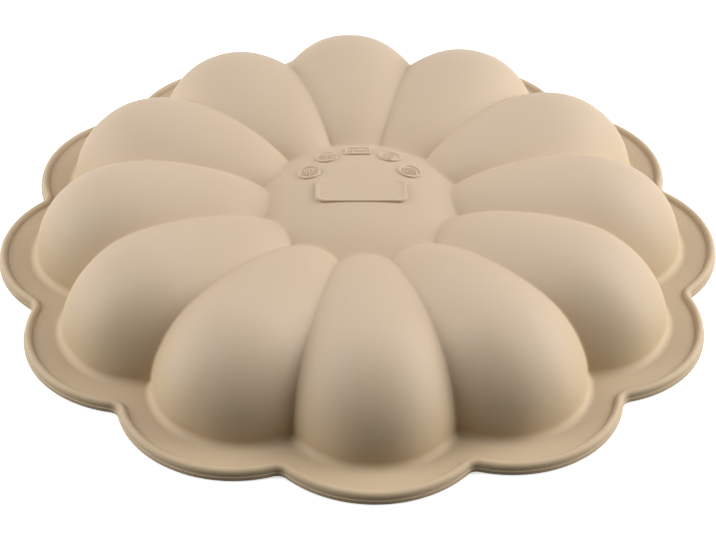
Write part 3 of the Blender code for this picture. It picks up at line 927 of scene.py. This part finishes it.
# Soft studio light: round is counted from -Y, counter-clockwise from above, and both angles are degrees
lampPlan = {
    "rightFoot": {"round": 90.0, "height": 3.0, "power": 11.5},
    "rightLow": {"round": 90.0, "height": 21.0, "power": 7.5},
    "rightTall": {"round": 90.0, "height": 32.0, "power": 7.0},
    "rightTop": {"round": 90.0, "height": 55.0, "power": 3.5},
    "rightFront": {"round": 60.0, "height": 21.0, "power": 2.0},
    "rightBack": {"round": 120.0, "height": 32.0, "power": 7.0},
    "rightHigh": {"round": 120.0, "height": 55.0, "power": 3.5},
    "leftFoot": {"round": -90.0, "height": 3.0, "power": 6.0},
    "leftLow": {"round": -90.0, "height": 21.0, "power": 6.0},
    "leftTall": {"round": -90.0, "height": 32.0, "power": 6.0},
    "leftTop": {"round": -90.0, "height": 55.0, "power": 4.5},
    "leftBack": {"round": -120.0, "height": 12.0, "power": 5.5},
    "leftHigh": {"round": -120.0, "height": 55.0, "power": 4.5},
}
surroundings = {
    "lampDistance": 1.6,
    "lampSize": 0.9,
    "sideColour": (1.0, 1.0, 0.97),
    "backColour": (0.98, 1.0, 1.16),
    "backFrom": 100.0,        # a lamp further round than this takes the back's colour
    "skyStrength": 0.0,       # the sky's light on the object; seen directly it is white
    "floorSize": 3.0,
    "floorDrop": 0.0002,
    "floorColour": 0.80,      # the floor as it is seen
    "floorGlow": 0.55,        # with this glow added
    "floorBounce": 0.12,      # and as it throws light back on the object
}


def makeLamps():
    # each lamp is a disc on a sphere about the origin, at its own round and height, and faces the origin
    for name, s in lampPlan.items():
        data = bpy.data.lights.new(name, "AREA")
        data.shape = "DISK"
        data.size = surroundings["lampSize"]
        data.energy = s["power"]
        behind = abs(s["round"]) > surroundings["backFrom"]
        data.color = surroundings["backColour" if behind else "sideColour"]
        lamp = bpy.data.objects.new(name, data)
        bpy.context.scene.collection.objects.link(lamp)
        turn = math.radians(s["round"])
        height = math.radians(s["height"])
        flat = math.cos(height)
        direction = np.array([math.sin(turn) * flat, -math.cos(turn) * flat, math.sin(height)])
        aim = Matrix.Rotation(turn, 4, "Z") @ Matrix.Rotation(quarterTurn - height, 4, "X")
        aim.translation = (direction * surroundings["lampDistance"]).tolist()
        lamp.matrix_world = aim
    print("lamps:", len(lampPlan))


def seenDirectly(tree):
    # one for rays from the camera or from a mirror or glass, nought for the rays that light the object
    path = tree.nodes.new("ShaderNodeLightPath")
    seen = path.outputs["Is Camera Ray"]
    for other in ("Is Glossy Ray", "Is Transmission Ray"):
        either = tree.nodes.new("ShaderNodeMath")
        either.operation = "MAXIMUM"
        tree.links.new(seen, either.inputs[0])
        tree.links.new(path.outputs[other], either.inputs[1])
        seen = either.outputs["Value"]
    return seen


def makeFloor():
    # a level square just under the mould: pale and glowing where it is seen directly, and dim where it only
    # throws light back on the object
    s = surroundings
    half = 0.5 * s["floorSize"]
    mesh = bpy.data.meshes.new("floor")
    plan = [(-half, -half), (half, -half), (half, half), (-half, half)]
    mesh.from_pydata([(x, y, -s["floorDrop"]) for x, y in plan], [], [(0, 1, 2, 3)])
    floor = bpy.data.objects.new("floor", mesh)
    bpy.context.scene.collection.objects.link(floor)
    material = bpy.data.materials.new("paleFloor")
    material.use_nodes = True
    tree = material.node_tree
    tree.nodes.clear()
    end = tree.nodes.new("ShaderNodeOutputMaterial")
    mix = tree.nodes.new("ShaderNodeMixShader")
    bounce = tree.nodes.new("ShaderNodeBsdfDiffuse")
    bounce.inputs["Color"].default_value = (s["floorBounce"],) * 3 + (1.0,)
    pale = tree.nodes.new("ShaderNodeBsdfDiffuse")
    pale.inputs["Color"].default_value = (s["floorColour"],) * 3 + (1.0,)
    glow = tree.nodes.new("ShaderNodeEmission")
    glow.inputs["Strength"].default_value = s["floorGlow"]
    both = tree.nodes.new("ShaderNodeAddShader")
    tree.links.new(pale.outputs["BSDF"], both.inputs[0])
    tree.links.new(glow.outputs["Emission"], both.inputs[1])
    tree.links.new(seenDirectly(tree), mix.inputs["Fac"])
    tree.links.new(bounce.outputs["BSDF"], mix.inputs[1])
    tree.links.new(both.outputs["Shader"], mix.inputs[2])
    tree.links.new(mix.outputs["Shader"], end.inputs["Surface"])
    mesh.materials.append(material)
    print("floor:", s["floorSize"], "m")


def makeSky():
    # white where it is seen directly, and with its own strength as a light
    world = bpy.data.worlds.new("studio")
    bpy.context.scene.world = world
    world.use_nodes = True
    tree = world.node_tree
    background = tree.nodes["Background"]
    background.inputs["Color"].default_value = (1.0, 1.0, 1.0, 1.0)
    strength = rangeNode(tree, seenDirectly(tree), (0.0, 1.0), (surroundings["skyStrength"], 1.0))
    tree.links.new(strength, background.inputs["Strength"])


makeLamps()
makeFloor()
makeSky()
bpy.context.scene.view_settings.view_transform = "Standard"

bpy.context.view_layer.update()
